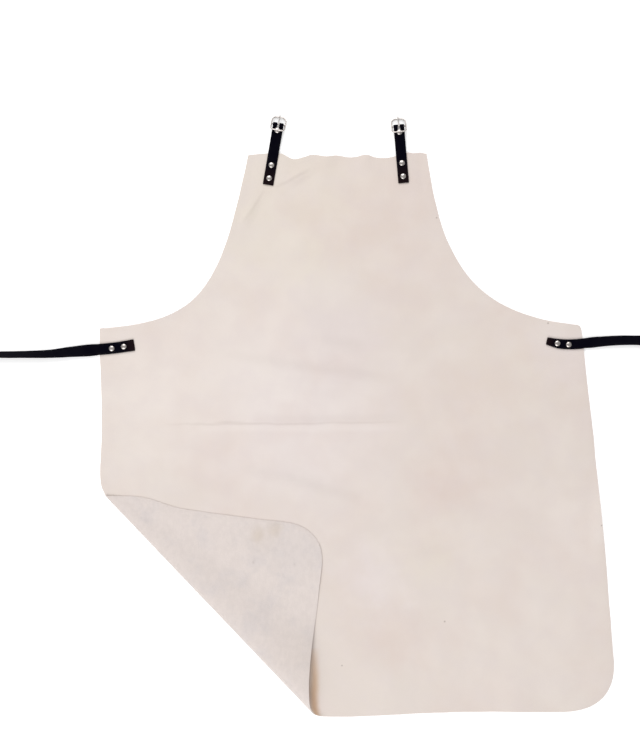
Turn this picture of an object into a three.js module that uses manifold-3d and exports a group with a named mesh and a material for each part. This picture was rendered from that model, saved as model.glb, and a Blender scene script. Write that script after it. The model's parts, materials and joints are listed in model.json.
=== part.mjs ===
// A leather work apron, laid out front side up with its lower left corner turned over.
// One hide panel carries two riveted neck tabs with centre-bar buckles and two riveted waist straps.
// Millimetres, +Z up. x = 0 is the panel's centre line and y = 0 its hem until the last step,
// which puts the origin on the floor under the middle of the whole apron.

import * as THREE from "three";
import { mergeVertices } from "three/addons/utils/BufferGeometryUtils.js";
import Module from "manifold-3d";

const wasm = await Module();
wasm.setup();

// Clearance between pieces that touch on the real apron
const GAP = 0.3;

// The hide panel as it was cut, before its corner was turned over
const HIDE = {
  thick: 1.6,
  bibTop: 840,
  waistLeft: { x: -360.5, y: 578.5 },
  waistRight: { x: 362, y: 584.5, round: 9 },
  // each armhole bends towards two places, one below the bib's corner and one beside the waist
  leftArmhole: { bib: { x: -179.9, y: 623.1 }, waist: { x: -217.3, y: 588 } },
  rightArmhole: { bib: { x: 149.3, y: 704.8 }, waist: { x: 180.7, y: 600.2 } },
  rightSide: { top: { x: 362, y: 573 }, bow: { x: 400, y: 249 }, foot: { x: 410.5, y: 78 } },
  rightCorner: { x: 412, y: 3.5 }, // where the side and the hem would meet if they weren't rounded off
  leftCorner: { x: -325.5, y: -10.5 },
  creaseCut: 9, // the cut left side crosses the crease this far along it
};

// The hand-cut hem, from the end of the left corner's round to the start of the right one's
const HEM = [
  { x: -262, y: -7 },
  { x: -200, y: -3 },
  { x: -145, y: 1.2 },
  { x: -90, y: 2.5 },
  { x: -40, y: -2.5 },
  { x: 0, y: -4 },
  { x: 90, y: 0 },
  { x: 184, y: 3 },
  { x: 330, y: 3.5 },
];

// The hand-cut left side between the waist and the crease
const LEFT_SIDE = [
  { x: -359.2, y: 516 },
  { x: -356.9, y: 441 },
  { x: -357.4, y: 411 },
  { x: -358.3, y: 345 },
];

// The left side below the crease, which lies on top once the corner is turned over
const FLAP_SIDE = [
  { x: -353, y: 270 },
  { x: -341, y: 218 },
  { x: -335.5, y: 170 },
  { x: -331, y: 100 },
  { x: -328.5, y: 58 },
];

// The raw top edge of the bib: how far it dips below bibTop along its width
const TOP_EDGE = [
  { x: -138, dip: 1.5 },
  { x: -114, dip: 0 },
  { x: -89, dip: 0 },
  { x: -70, dip: 8 },
  { x: -53, dip: 4.5 },
  { x: -42, dip: 1.2 },
  { x: -20, dip: 4.2 },
  { x: -6, dip: 2.7 },
  { x: 12, dip: 5.4 },
  { x: 24, dip: 4.8 },
  { x: 39, dip: 2 },
  { x: 56, dip: 6 },
  { x: 76, dip: 5.4 },
  { x: 100, dip: -2.2 },
  { x: 111, dip: -1.2 },
  { x: 120, dip: -2 },
  { x: 130, dip: 0 },
];

// The turned-over corner: a roll along a straight crease, tight at the side and loose at the hem
const FOLD = {
  start: new THREE.Vector2(-358.5, 335.5), // outer line of the roll at the left side
  end: new THREE.Vector2(-33, -4), // and at the hem
  startRadius: 1.8,
  endRadius: 13,
  flapGap: 0.8, // air between the flap and the panel where it has settled
  settle: 9, // the flap comes down over this many roll radii
  steps: 8, // facets round the roll
};

// Straps, rivets and buckles
const STRAP = { thick: 1.8, width: 16 };
const RIVET = { capRadius: 4.3, capHeight: 1.7, backRadius: 4, backHeight: 1.2, postRadius: 1.4, sides: 12 };
const BUCKLE = {
  wire: 1.1, // radius
  halfWidth: 10.6, // to the middle of the side wires
  upperArm: 12.2, // from the centre bar to the upper bar, seen from above
  lowerArm: 8.2, // and to the lower bar
  squareness: 3.4, // 2 would be an ellipse
  sides: 8,
  steps: 40,
};
const PRONG = { wire: 0.95, tip: 0.65, past: 3.2, sides: 8 };
const SLOT = { width: 3, below: 4.6, above: 5 }; // the cut in the strap that lets the prong swing

// Neck tabs: place of the buckle's centre bar, lean to the left in degrees, and strap below the bar
const TABS = [
  { side: "left", x: -92.4, y: 882.9, lean: -9.8, reach: 90.9 },
  { side: "right", x: 88, y: 880.3, lean: 5, reach: 84.5 },
];
const TAB = {
  rivetInset: 10, // lower rivet above the strap's lower end
  rivetPitch: 20,
  buckleRivet: 8.3, // below the centre bar
  clench: 4.3, // half length over which the two layers lie together
  turnedUnder: 22, // the back layer ends this far below the bar
};

// Waist straps from the riveted end to the tip: a hand-cut strap, level on the panel and then twisting
// as it lies on the floor. base is the height of its lowest edge, and DECK the height of a strap
// on the panel.
const RIVET_LIFT = RIVET.backHeight + GAP;
const DECK = RIVET_LIFT + HIDE.thick + GAP;
const WAIST_STRAPS = [
  {
    side: "left",
    rivets: [{ x: -323.9, y: 551 }, { x: -342, y: 548.2 }],
    stations: [
      { x: -308, y: 553.5, width: 1.08, base: DECK, twist: 0 },
      { x: -335, y: 549.3, width: 1.04, base: DECK, twist: 0 },
      { x: -363, y: 546.5, width: 1.05, base: DECK, twist: 0 },
      { x: -405, y: 543, width: 1.03, base: 1.5, twist: 22 },
      { x: -434, y: 540.3, width: 1, base: 0.7, twist: 42 },
      { x: -472, y: 539.3, width: 1, base: 0.4, twist: 52 },
      { x: -510, y: 539, width: 1, base: 0.4, twist: 56 },
      { x: -545, y: 540, width: 0.96, base: 0.4, twist: 56 },
    ],
  },
  {
    side: "right",
    rivets: [{ x: 325.6, y: 555.8 }, { x: 342.5, y: 554 }],
    stations: [
      { x: 309.5, y: 559.6, width: 0.68, base: DECK, twist: 0 },
      { x: 329, y: 555.2, width: 0.9, base: DECK, twist: 0 },
      { x: 352, y: 554.6, width: 0.94, base: DECK, twist: 0 },
      { x: 369, y: 556.4, width: 0.95, base: DECK, twist: 0 },
      { x: 396, y: 559, width: 0.96, base: 1.4, twist: -14 },
      { x: 420, y: 560.4, width: 0.98, base: 0.4, twist: -24 },
      { x: 450, y: 560.3, width: 0.96, base: 0.2, twist: -26 },
      { x: 500, y: 558, width: 1, base: 0.2, twist: -26 },
      { x: 545, y: 556, width: 0.96, base: 0.2, twist: -26 },
    ],
  },
];
const STRAP_STEPS = 32;

// Soft swells of the hide. Each rises by height along a line at x, y turned by turn degrees, reaches that
// far each way, and is level over the flat share of its length and width.
const SWELLS = [
  // level pads that make room for the rivets' back caps
  { x: -104.7, y: 814, turn: 80, reach: 52, half: 30, height: RIVET_LIFT, flat: 0.55 },
  { x: 93.8, y: 816, turn: 95, reach: 52, half: 30, height: RIVET_LIFT, flat: 0.55 },
  { x: -338, y: 549.5, turn: 172, reach: 74, half: 36, height: RIVET_LIFT, flat: 0.66 },
  { x: 338, y: 555.5, turn: 178, reach: 74, half: 30, height: RIVET_LIFT, flat: 0.6 },
  // pulls that spread from the left neck tab
  { x: -62, y: 805, turn: 28, reach: 34, half: 10, height: 3, flat: 0 },
  { x: -136, y: 752, turn: 63, reach: 38, half: 11, height: 3, flat: 0 },
  // the ridge that storing it folded has left, and the slack on each side of it
  { x: -82, y: 436.5, turn: 0.6, reach: 185, half: 40, height: 3.2, flat: 0 },
  { x: -80, y: 500, turn: -7, reach: 150, half: 30, height: 1.8, flat: 0.1 },
  { x: -20, y: 392, turn: -5, reach: 120, half: 28, height: 1.8, flat: 0.1 },
  // slack above the turned-over corner and in the skirt
  { x: -62, y: 345, turn: -14, reach: 80, half: 24, height: 3.5, flat: 0 },
  { x: 8, y: 512, turn: -8, reach: 60, half: 20, height: 2.5, flat: 0 },
  { x: 105, y: 243, turn: 5, reach: 60, half: 22, height: 2.5, flat: 0 },
  // lifted edges
  { x: 352, y: 588, turn: -3, reach: 46, half: 15, height: 3.5, flat: 0.1 },
  { x: -22, y: 838, turn: 88, reach: 40, half: 20, height: 3, flat: 0 },
  { x: 36, y: 838, turn: 94, reach: 34, half: 18, height: 3, flat: 0 },
  { x: 398, y: 330, turn: 86, reach: 130, half: 22, height: 3, flat: 0 },
  { x: 70, y: 0, turn: 84, reach: 90, half: 46, height: 3.5, flat: 0 },
  { x: 268, y: 0, turn: 97, reach: 80, half: 44, height: 3, flat: 0 },
];

// The cutting lattice of the panel runs along and across the crease
const LATTICE = {
  pitch: 26,
  reach: 720, // across the panel from the crease
  before: 8.5, // pitches along the crease, from before its start
  beyond: 30.5, // to past its end
  nearCrease: [0, 8, 20, 38],
  flapRows: [0, 8, 20, 36, 56, 80, 108, 140, 176, 216],
};

const MATERIALS = {
  hide: { color: 0xe6dcd4, roughness: 0.85, metalness: 0 },
  strap: { color: 0x0d0b12, roughness: 0.45, metalness: 0 },
  nickel: { color: 0xd2cfc8, roughness: 0.25, metalness: 1 },
};

const material = Object.fromEntries(
  Object.entries(MATERIALS).map(([name, look]) => [name, new THREE.MeshStandardMaterial(look)]),
);

// Solids

function merged(geometry) {
  geometry.deleteAttribute("normal");
  geometry.deleteAttribute("uv");
  return mergeVertices(geometry, 1e-4);
}

function solidFrom(geometry) {
  const { index, attributes } = merged(geometry);
  const triVerts = new Uint32Array(index.array);
  const mesh = new wasm.Mesh({ numProp: 3, vertProperties: attributes.position.array, triVerts });
  return new wasm.Manifold(mesh);
}

function geometryFrom(solid) {
  const { vertProperties, triVerts } = solid.getMesh();
  const geometry = new THREE.BufferGeometry();
  geometry.setAttribute("position", new THREE.BufferAttribute(vertProperties, 3));
  geometry.setIndex(new THREE.BufferAttribute(triVerts, 1));
  return geometry;
}

function named(name, geometry, look) {
  const mesh = new THREE.Mesh(geometry, material[look]);
  mesh.name = name;
  return mesh;
}

// An upright round cutter through x, y, for a rivet's post
function postCutter({ x, y }) {
  const height = 60;
  const radius = RIVET.postRadius + GAP;
  const cutter = new THREE.CylinderGeometry(radius, radius, height, RIVET.sides);
  cutter.rotateX(Math.PI / 2);
  cutter.translate(x, y, 0);
  return solidFrom(cutter);
}

function pierced(geometry, places) {
  const solid = places.reduce((left, place) => left.subtract(postCutter(place)), solidFrom(geometry));
  return geometryFrom(solid);
}

// The hide panel

function hideOutline() {
  const { bibTop, waistLeft, waistRight, leftArmhole, rightArmhole } = HIDE;
  const { rightSide, rightCorner, leftCorner } = HIDE;
  const bibLeft = TOP_EDGE[0];
  const bibRight = TOP_EDGE[TOP_EDGE.length - 1];
  const shape = new THREE.Shape();
  shape.moveTo(HEM[0].x, HEM[0].y);
  for (const { x, y } of HEM.slice(1)) shape.lineTo(x, y);
  shape.quadraticCurveTo(rightCorner.x, rightCorner.y, rightSide.foot.x, rightSide.foot.y);
  shape.quadraticCurveTo(rightSide.bow.x, rightSide.bow.y, rightSide.top.x, rightSide.top.y);
  shape.quadraticCurveTo(waistRight.x, waistRight.y, waistRight.x - waistRight.round, waistRight.y);
  shape.bezierCurveTo(
    rightArmhole.waist.x, rightArmhole.waist.y,
    rightArmhole.bib.x, rightArmhole.bib.y,
    bibRight.x, bibTop - bibRight.dip,
  );
  for (const { x, dip } of [...TOP_EDGE].reverse().slice(1)) shape.lineTo(x, bibTop - dip);
  shape.bezierCurveTo(
    leftArmhole.bib.x, leftArmhole.bib.y,
    leftArmhole.waist.x, leftArmhole.waist.y,
    waistLeft.x, waistLeft.y,
  );
  for (const { x, y } of LEFT_SIDE) shape.lineTo(x, y);
  const crossing = fromCrease(HIDE.creaseCut, 0);
  shape.lineTo(crossing.x, crossing.y);
  for (const { x, y } of FLAP_SIDE) shape.lineTo(x, y);
  shape.quadraticCurveTo(leftCorner.x, leftCorner.y, HEM[0].x, HEM[0].y);
  const curveSteps = 12;
  const points = shape.getPoints(curveSteps);
  return points.filter((p, i) => p.distanceTo(points[(i + 1) % points.length]) > GAP);
}

// The crease's own frame: u along the roll's outer line, w across it towards the corner that is turned over
const creaseLength = FOLD.start.distanceTo(FOLD.end);
const alongCrease = FOLD.end.clone().sub(FOLD.start).normalize();
const acrossCrease = new THREE.Vector2(alongCrease.y, -alongCrease.x);

function toCrease(x, y) {
  const from = new THREE.Vector2(x, y).sub(FOLD.start);
  return { u: from.dot(alongCrease), w: from.dot(acrossCrease) };
}

function fromCrease(u, w) {
  return FOLD.start.clone().addScaledVector(alongCrease, u).addScaledVector(acrossCrease, w);
}

function rollRadius(u) {
  const along = Math.max(u, -LATTICE.pitch / 2);
  return THREE.MathUtils.lerp(FOLD.startRadius, FOLD.endRadius, along / creaseLength);
}

function ease(share) {
  const t = THREE.MathUtils.clamp(share, 0, 1);
  return t * t * (3 - 2 * t);
}

function hideHeight(x, y) {
  let height = 0;
  for (const swell of SWELLS) {
    const turn = THREE.MathUtils.degToRad(swell.turn);
    const dx = x - swell.x;
    const dy = y - swell.y;
    const along = Math.abs(dx * Math.cos(turn) + dy * Math.sin(turn)) / swell.reach;
    const across = Math.abs(dy * Math.cos(turn) - dx * Math.sin(turn)) / swell.half;
    const level = (q) => 1 - ease((q - swell.flat) / (1 - swell.flat));
    height += swell.height * level(along) * level(across);
  }
  return height;
}

// Where a point of the cut hide lies: the middle of its thickness
function laidHide(x, y) {
  const { u, w } = toCrease(x, y);
  const radius = rollRadius(u);
  const rolled = w + radius;
  const middle = HIDE.thick / 2;
  if (rolled <= 0) return new THREE.Vector3(x, y, middle + hideHeight(x, y));
  const angle = rolled / radius;
  if (angle <= Math.PI) {
    const place = fromCrease(u, radius * (Math.sin(angle) - 1));
    return new THREE.Vector3(place.x, place.y, middle + radius * (1 - Math.cos(angle)));
  }
  const out = rolled - Math.PI * radius;
  const place = fromCrease(u, -radius - out);
  const rest = HIDE.thick + FOLD.flapGap;
  const fall = (2 * radius - rest) * ease(out / (FOLD.settle * radius));
  return new THREE.Vector3(place.x, place.y, middle + 2 * radius - fall + hideHeight(place.x, place.y));
}

// The face of the hide, on its front with front = 1 and on its back with front = -1
function hideFace(x, y, front) {
  const step = 0.5;
  const dx = laidHide(x + step, y).sub(laidHide(x - step, y));
  const dy = laidHide(x, y + step).sub(laidHide(x, y - step));
  const normal = dx.cross(dy).normalize();
  return laidHide(x, y).addScaledVector(normal, (front * HIDE.thick) / 2);
}

// Cuts polygons by a straight line and keeps what lies on its left
function leftOf(polygons, from, to) {
  const run = to.clone().sub(from);
  const kept = [];
  for (const polygon of polygons) {
    const count = polygon.length;
    const side = polygon.map((p) => run.cross(p.clone().sub(from)));
    if (side.every((s) => s < 0)) continue;
    const crossing = (i, k) => polygon[i].clone().lerp(polygon[k], side[i] / (side[i] - side[k]));
    const chains = [];
    for (let i = 0; i < count; i++) {
      const before = (i + count - 1) % count;
      if (side[i] < 0 || side[before] >= 0) continue;
      const chain = [crossing(before, i)];
      let k = i;
      for (; side[k] >= 0; k = (k + 1) % count) chain.push(polygon[k]);
      chain.push(crossing((k + count - 1) % count, k));
      chains.push(chain);
    }
    if (chains.length === 0) kept.push(polygon);
    chains.sort((a, b) => run.dot(a[0]) - run.dot(b[0]));
    while (chains.length > 0) {
      const loop = chains.shift();
      const leaves = () => run.dot(loop[loop.length - 1]);
      while (run.dot(loop[0]) < leaves()) {
        const next = chains.findIndex((chain) => run.dot(chain[0]) >= leaves());
        loop.push(...chains.splice(next, 1)[0]);
      }
      kept.push(loop);
    }
  }
  return kept;
}

// The lattice's cells, each a four-sided polygon with a straight side along every lattice line
function latticeCells() {
  const columns = [];
  for (let i = -LATTICE.before; i <= LATTICE.beyond; i++) columns.push(i * LATTICE.pitch);
  const rows = LATTICE.flapRows.map((out) => (u) => (Math.PI - 1) * rollRadius(u) + out);
  const rollRow = (i) => (u) => ((Math.PI * i) / FOLD.steps - 1) * rollRadius(u);
  for (let i = FOLD.steps - 1; i >= 0; i--) rows.unshift(rollRow(i));
  const panelRows = LATTICE.nearCrease.slice(1);
  for (let d = panelRows[panelRows.length - 1]; d < LATTICE.reach; ) panelRows.push((d += LATTICE.pitch));
  for (const back of panelRows) rows.unshift((u) => -rollRadius(u) - back);
  const cells = [];
  for (let c = 0; c + 1 < columns.length; c++) {
    for (let r = 0; r + 1 < rows.length; r++) {
      const [near, far] = [columns[c], columns[c + 1]];
      const corners = [
        fromCrease(near, rows[r](near)),
        fromCrease(near, rows[r + 1](near)),
        fromCrease(far, rows[r + 1](far)),
        fromCrease(far, rows[r](far)),
      ];
      cells.push(corners);
    }
  }
  return cells;
}

// A closed wall of hide: the outline cut into cells, a front and a back face, and the cut edge between them
function hideGeometry() {
  const outline = hideOutline();
  const indexOf = new Map();
  const flat = [];
  const vertex = (p) => {
    const key = `${p.x.toFixed(3)},${p.y.toFixed(3)}`;
    if (!indexOf.has(key)) {
      indexOf.set(key, flat.length);
      flat.push(p);
    }
    return indexOf.get(key);
  };
  const triangles = [];
  for (const cell of latticeCells()) {
    const pieces = cell.reduce((left, p, i) => leftOf(left, p, cell[(i + 1) % cell.length]), [outline]);
    for (const piece of pieces) {
      const corners = piece.map(vertex).filter((v, i, all) => v !== all[(i + 1) % all.length]);
      if (corners.length < 3) continue;
      const contour = corners.map((v) => flat[v]);
      const facets = THREE.ShapeUtils.triangulateShape(contour, []);
      for (const facet of facets) triangles.push(facet.map((k) => corners[k]));
    }
  }
  const count = flat.length;
  const positions = [1, -1].flatMap((front) => flat.flatMap((p) => hideFace(p.x, p.y, front).toArray()));
  const directed = new Set(triangles.flatMap(([a, b, c]) => [`${a},${b}`, `${b},${c}`, `${c},${a}`]));
  const faces = [];
  for (const [a, b, c] of triangles) {
    faces.push(a, b, c, a + count, c + count, b + count);
    for (const [p, q] of [[a, b], [b, c], [c, a]]) {
      if (!directed.has(`${q},${p}`)) faces.push(p, p + count, q + count, p, q + count, q);
    }
  }
  const geometry = new THREE.BufferGeometry();
  geometry.setAttribute("position", new THREE.Float32BufferAttribute(positions, 3));
  geometry.setIndex(faces);
  return geometry;
}

// Rivets: a domed cap, a post through the leather and a flat back cap, for a stack from low to high

function rivet(name, { x, y }, low, high) {
  const { capRadius, capHeight, backRadius, backHeight, postRadius, sides } = RIVET;
  const back = low - GAP;
  const cap = high + GAP;
  const bevel = backHeight / 3;
  const profile = [
    [0, back - backHeight],
    [backRadius - bevel, back - backHeight],
    [backRadius, back - backHeight + bevel],
    [backRadius, back],
    [postRadius, back],
    [postRadius, cap],
    [capRadius, cap],
  ];
  const domeSteps = 3;
  const brim = capHeight / 4;
  for (let i = 0; i <= domeSteps; i++) {
    const angle = (Math.PI / 2) * (i / domeSteps);
    const radius = i === domeSteps ? 0 : capRadius * Math.cos(angle);
    profile.push([radius, cap + brim + (capHeight - brim) * Math.sin(angle)]);
  }
  const geometry = new THREE.LatheGeometry(profile.map(([r, z]) => new THREE.Vector2(r, z)), sides);
  geometry.rotateX(Math.PI / 2);
  const mesh = named(name, merged(geometry), "nickel");
  mesh.position.set(x, y, 0);
  return mesh;
}

// Neck tabs. A tab's own frame has its origin in the centre bar, +Y up the strap and +X across it.

const loopRadius = BUCKLE.wire + GAP + STRAP.thick / 2;
const layerRise = STRAP.thick + GAP; // between the two layers where they are riveted together
const backLayer = -loopRadius;
const frontLayer = backLayer + layerRise;
const capTop = frontLayer + STRAP.thick / 2 + GAP + RIVET.capHeight;
const tilt = Math.atan2(capTop + GAP + BUCKLE.wire, BUCKLE.lowerArm); // the lower bar lies on the rivet's cap
const barHeight = BUCKLE.upperArm * Math.tan(tilt) + BUCKLE.wire + GAP; // the upper bar lies on the floor

// The middle line of a tab's strap: up the bib, round the centre bar and back under itself
function tabLine(reach) {
  const onBib = DECK + STRAP.thick / 2 - barHeight;
  const { buckleRivet, clench, turnedUnder } = TAB;
  const bibEdge = (reach + buckleRivet) / 2;
  const clenchEnd = buckleRivet - clench;
  const line = [
    [-reach, onBib],
    [-reach + TAB.rivetInset, onBib],
    [-reach + TAB.rivetInset + TAB.rivetPitch, onBib],
    [-bibEdge, onBib],
    [-buckleRivet - clench, frontLayer],
    [-buckleRivet, frontLayer],
    [-clenchEnd, frontLayer],
  ];
  // the strap meets the loop where a straight run from the clenched part just touches it
  const touch = Math.acos(loopRadius / Math.hypot(clenchEnd, frontLayer));
  const from = Math.PI + Math.atan2(-frontLayer, clenchEnd) - touch;
  const to = -Math.PI / 2;
  const turnSteps = 8;
  for (let i = 0; i <= turnSteps; i++) {
    const angle = THREE.MathUtils.lerp(from, to, i / turnSteps);
    line.push([loopRadius * Math.cos(angle), loopRadius * Math.sin(angle)]);
  }
  line.push([-clenchEnd, backLayer], [-buckleRivet, backLayer], [-turnedUnder, backLayer]);
  return new THREE.CatmullRomCurve3(line.map(([y, z]) => new THREE.Vector3(y, z, 0)));
}

function tabStrap(reach) {
  const curve = tabLine(reach);
  const stepsPerPoint = 2;
  const steps = stepsPerPoint * (curve.points.length - 1);
  const front = [];
  const back = [];
  for (let i = 0; i <= steps; i++) {
    const p = curve.getPoint(i / steps);
    const t = curve.getTangent(i / steps);
    const half = STRAP.thick / 2;
    front.push(new THREE.Vector2(p.x - t.y * half, p.y + t.x * half));
    back.push(new THREE.Vector2(p.x + t.y * half, p.y - t.x * half));
  }
  const side = new THREE.Shape([...front, ...back.reverse()]);
  const strap = new THREE.ExtrudeGeometry(side, { depth: STRAP.width, bevelEnabled: false });
  strap.translate(0, 0, -STRAP.width / 2);
  const [x, y, z] = [new THREE.Vector3(1, 0, 0), new THREE.Vector3(0, 1, 0), new THREE.Vector3(0, 0, 1)];
  strap.applyMatrix4(new THREE.Matrix4().makeBasis(y, z, x));
  const slot = new THREE.BoxGeometry(SLOT.width, SLOT.above + SLOT.below, 4 * loopRadius);
  slot.translate(0, (SLOT.above - SLOT.below) / 2, 0);
  const posts = tabRivets(reach).map((along) => ({ x: 0, y: along }));
  return pierced(geometryFrom(solidFrom(strap).subtract(solidFrom(slot))), posts);
}

// Rivets along a tab: lower and upper on the bib, and one under the buckle
function tabRivets(reach) {
  return [TAB.rivetInset - reach, TAB.rivetInset + TAB.rivetPitch - reach, -TAB.buckleRivet];
}

// The buckle's outline, a rounded oblong with its centre bar on the origin
class BuckleLine extends THREE.Curve {
  getPoint(t, target = new THREE.Vector3()) {
    const angle = 2 * Math.PI * t;
    const power = 2 / BUCKLE.squareness;
    const bend = (v) => Math.sign(v) * Math.abs(v) ** power;
    const upper = BUCKLE.upperArm / Math.cos(tilt);
    const lower = BUCKLE.lowerArm / Math.cos(tilt);
    const along = (upper - lower) / 2 + ((upper + lower) / 2) * bend(Math.sin(angle));
    return target.set(BUCKLE.halfWidth * bend(Math.cos(angle)), along, 0);
  }
}

function buckleFrame() {
  const ring = new THREE.TubeGeometry(new BuckleLine(), BUCKLE.steps, BUCKLE.wire, BUCKLE.sides, true);
  const bar = new THREE.CylinderGeometry(BUCKLE.wire, BUCKLE.wire, 2 * BUCKLE.halfWidth, BUCKLE.sides);
  bar.rotateZ(Math.PI / 2);
  return geometryFrom(solidFrom(ring).add(solidFrom(bar)));
}

// The prong: a wire eye round the centre bar and a shank that lies on the upper bar
function buckleProng() {
  const eyeRadius = BUCKLE.wire + GAP + PRONG.wire;
  const length = BUCKLE.upperArm / Math.cos(tilt) + PRONG.past;
  const eyeSteps = 16;
  const eye = new THREE.TorusGeometry(eyeRadius, PRONG.wire, PRONG.sides, eyeSteps);
  eye.rotateY(Math.PI / 2);
  const shank = new THREE.CylinderGeometry(PRONG.tip, PRONG.wire, length, PRONG.sides);
  shank.translate(0, length / 2, eyeRadius);
  return geometryFrom(solidFrom(eye).add(solidFrom(shank)));
}

function neckTab({ side, x, y, lean, reach }) {
  const tab = new THREE.Group();
  tab.position.set(x, y, barHeight);
  tab.rotation.z = THREE.MathUtils.degToRad(lean);
  tab.add(named(`neck_tab_${side}`, tabStrap(reach), "strap"));
  const [lower, upper, buckle] = tabRivets(reach);
  const bibStack = [RIVET_LIFT - barHeight, DECK + STRAP.thick - barHeight];
  tab.add(rivet(`rivet_neck_${side}_lower`, { x: 0, y: lower }, ...bibStack));
  tab.add(rivet(`rivet_neck_${side}_upper`, { x: 0, y: upper }, ...bibStack));
  const half = STRAP.thick / 2;
  tab.add(rivet(`rivet_buckle_${side}`, { x: 0, y: buckle }, backLayer - half, frontLayer + half));
  const hardware = new THREE.Group();
  hardware.rotation.x = -tilt;
  hardware.add(named(`buckle_frame_${side}`, buckleFrame(), "nickel"));
  hardware.add(named(`buckle_prong_${side}`, buckleProng(), "nickel"));
  tab.add(hardware);
  return tab;
}

// A point of a tab in the apron's frame
function onTab({ x, y, lean }, along) {
  const turn = THREE.MathUtils.degToRad(lean);
  return { x: x - along * Math.sin(turn), y: y + along * Math.cos(turn) };
}

// Waist straps: a flat strip bent along its stations and turned about its own line by their twist

function waistStrap({ side, stations, rivets }) {
  const centre = stations.map(({ x, y, width, base, twist }) => {
    const turn = THREE.MathUtils.degToRad(Math.abs(twist));
    const rise = (STRAP.width * width * Math.sin(turn) + STRAP.thick * Math.cos(turn)) / 2;
    return new THREE.Vector3(x, y, base + rise);
  });
  const line = new THREE.CatmullRomCurve3(centre);
  const shapes = stations.map(({ width, twist }) => new THREE.Vector3(width, twist, 0));
  const shape = new THREE.CatmullRomCurve3(shapes);
  const strip = new THREE.BoxGeometry(1, 1, 1, STRAP_STEPS, 1, 1);
  const { position } = strip.attributes;
  const up = new THREE.Vector3(0, 0, 1);
  for (let i = 0; i < position.count; i++) {
    const t = position.getX(i) + 0.5;
    const tangent = line.getTangent(t);
    const { x: width, y: twist } = shape.getPoint(t);
    const turn = THREE.MathUtils.degToRad(twist);
    const across = up.clone().cross(tangent).normalize().applyAxisAngle(tangent, turn);
    const out = tangent.clone().cross(across);
    const p = line.getPoint(t);
    p.addScaledVector(across, position.getY(i) * STRAP.width * width);
    p.addScaledVector(out, position.getZ(i) * STRAP.thick);
    position.setXYZ(i, p.x, p.y, p.z);
  }
  const group = new THREE.Group();
  group.add(named(`waist_strap_${side}`, pierced(strip, rivets), "strap"));
  const places = ["inner", "outer"];
  rivets.forEach((place, i) => {
    group.add(rivet(`rivet_waist_${side}_${places[i]}`, place, RIVET_LIFT, DECK + STRAP.thick));
  });
  return group;
}

// The whole apron

const bibPosts = TABS.flatMap((tab) => tabRivets(tab.reach).slice(0, 2).map((along) => onTab(tab, along)));
const waistPosts = WAIST_STRAPS.flatMap(({ rivets }) => rivets);

const laid = new THREE.Group();
laid.add(named("apron_panel", pierced(hideGeometry(), [...bibPosts, ...waistPosts]), "hide"));
for (const tab of TABS) laid.add(neckTab(tab));
for (const strap of WAIST_STRAPS) laid.add(waistStrap(strap));

const box = new THREE.Box3().setFromObject(laid, true);
const middle = box.getCenter(new THREE.Vector3());
laid.position.set(-middle.x, -middle.y, -box.min.z);

const apron = new THREE.Group();
apron.add(laid);

export default apron;
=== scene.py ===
"""Dresses a packed leather apron: its hide, straps, rivets and buckles, laid out on a pale floor.

The tables are in millimetres on the flat pattern: x from its centre line, y up from its hem.
"""

import json
import math
from collections import namedtuple

import bmesh
import bpy
from bpy.props import FloatProperty, FloatVectorProperty, IntProperty, PointerProperty
from mathutils import Matrix, Vector, noise
from mathutils.geometry import interpolate_bezier


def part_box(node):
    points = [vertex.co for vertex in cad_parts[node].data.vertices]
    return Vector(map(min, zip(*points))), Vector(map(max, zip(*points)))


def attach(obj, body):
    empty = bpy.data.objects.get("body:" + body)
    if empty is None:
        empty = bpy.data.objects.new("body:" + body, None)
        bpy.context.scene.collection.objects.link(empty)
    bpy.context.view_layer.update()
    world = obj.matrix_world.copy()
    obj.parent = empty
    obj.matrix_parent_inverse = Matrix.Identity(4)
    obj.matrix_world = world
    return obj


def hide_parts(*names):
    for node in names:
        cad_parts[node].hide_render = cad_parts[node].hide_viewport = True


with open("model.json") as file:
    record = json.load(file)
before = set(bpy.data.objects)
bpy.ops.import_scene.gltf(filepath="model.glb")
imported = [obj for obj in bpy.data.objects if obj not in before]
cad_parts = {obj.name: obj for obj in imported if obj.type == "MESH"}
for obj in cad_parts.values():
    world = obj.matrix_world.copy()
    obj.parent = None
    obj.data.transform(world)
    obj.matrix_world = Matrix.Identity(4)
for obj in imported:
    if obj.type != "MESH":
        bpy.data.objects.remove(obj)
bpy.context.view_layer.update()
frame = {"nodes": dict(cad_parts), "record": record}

bl_info = {
    "name": "Leather apron",
    "version": (1, 0, 0),
    "blender": (4, 5, 0),
    "location": "View3D > Sidebar > Apron",
    "description": "Lays out a leather apron with riveted straps and wire buckles",
    "category": "Add Mesh",
}

MM = 0.001
CLEAR = 0.3  # mm, the clearance that the solids keep between pieces that touch

# The flat pattern

TopEdge = namedtuple("TopEdge", "x dip")
Swell = namedtuple("Swell", "x y turn reach half height flat")
Crease = namedtuple("Crease", "x y turn reach half height")


def places(*rows):
    return [Vector(row) for row in rows]


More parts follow.
